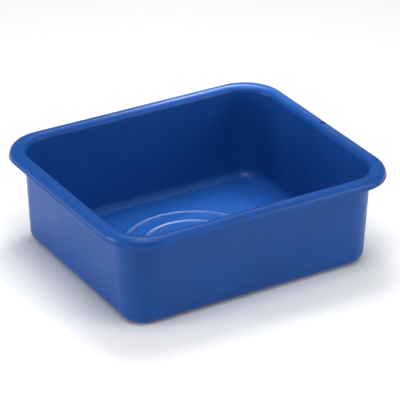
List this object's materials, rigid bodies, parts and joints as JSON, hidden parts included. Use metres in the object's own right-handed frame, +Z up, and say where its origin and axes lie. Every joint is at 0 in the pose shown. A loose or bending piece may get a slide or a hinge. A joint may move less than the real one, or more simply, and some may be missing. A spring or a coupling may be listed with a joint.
{
  "type": "mortar mixing tub",
  "caption": "Open rectangular plastic tub with rounded corners, drafted walls, a rolled rim with a hang hole, and raised rings on the floor, for mixing mortar by hand.",
  "frame": {"origin": "centre of the flat base, on the surface the tub stands on", "axes": "+Z up out of the open top, +X along the tub's length towards the end with the hang hole, +Y across its width"},
  "size_m": [0.61, 0.518, 0.201],
  "materials": {
    "blue_plastic": "satin moulded polyethylene"
  },
  "bodies": {
    "root": {"tub": "blue_plastic"}
  },
  "joints": []
}
